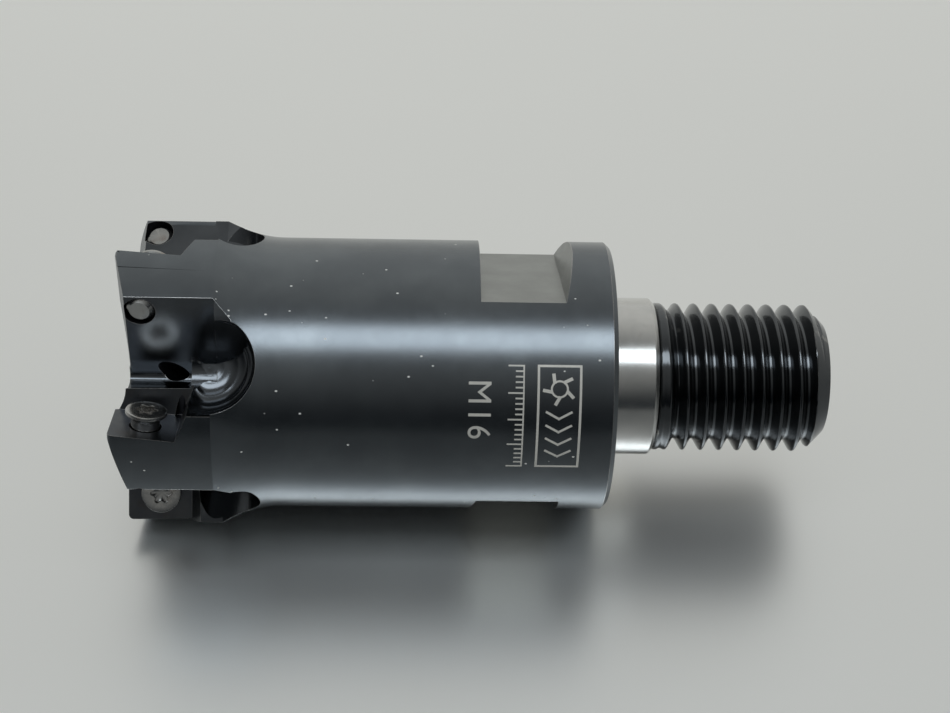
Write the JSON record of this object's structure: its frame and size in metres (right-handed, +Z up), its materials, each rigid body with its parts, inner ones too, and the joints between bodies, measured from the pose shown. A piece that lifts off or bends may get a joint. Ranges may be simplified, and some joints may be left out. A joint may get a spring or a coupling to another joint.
{
  "type": "face mill",
  "caption": "Screw-in indexable milling cutter head: toothed front with open insert seats and gullets, round neck with wrench flats, ground pilot and threaded shank.",
  "frame": {"origin": "centre of the bounding box at its bottom, on the surface that the tool lies on", "axes": "+X along the cutter's axis towards the threaded end, +Z up, the teeth at -X"},
  "size_m": [0.075, 0.0328, 0.0318],
  "materials": {
    "oxide_head": "black oxide, satin, darker and glossier inside the gullets",
    "oxide_body": "black oxide, satin, blue-grey sheen",
    "ground_pilot": "bright, finely ground",
    "oxide_thread": "black oxide, oiled, semi-gloss",
    "screw_steel": "plain hardened steel"
  },
  "bodies": {
    "cutter_body": {"cutter_head": "oxide_head", "body_shank": "oxide_body", "pilot_collar": "ground_pilot", "threaded_stub": "oxide_thread"},
    "screw_1": {"insert_screw_1": "screw_steel"},
    "screw_2": {"insert_screw_2": "screw_steel"},
    "screw_3": {"insert_screw_3": "screw_steel"},
    "screw_4": {"insert_screw_4": "screw_steel"},
    "screw_5": {"insert_screw_5": "screw_steel"}
  },
  "joints": [
    {"name": "screw_1_travel", "type": "slide", "parent": "cutter_body", "child": "screw_1", "axis": [0.1045, 0.1727, -0.9794], "range_m": [-0.0008, 0.0058]},
    {"name": "screw_2_travel", "type": "slide", "parent": "cutter_body", "child": "screw_2", "axis": [0.1045, 0.9848, -0.1384], "range_m": [-0.0008, 0.0058]},
    {"name": "screw_3_travel", "type": "slide", "parent": "cutter_body", "child": "screw_3", "axis": [0.1045, 0.436, 0.8939], "range_m": [-0.0008, 0.0058]},
    {"name": "screw_4_travel", "type": "slide", "parent": "cutter_body", "child": "screw_4", "axis": [0.1045, -0.7154, 0.6909], "range_m": [-0.0008, 0.0058]},
    {"name": "screw_5_travel", "type": "slide", "parent": "cutter_body", "child": "screw_5", "axis": [0.1045, -0.8781, -0.4669], "range_m": [-0.0008, 0.0058]}
  ]
}
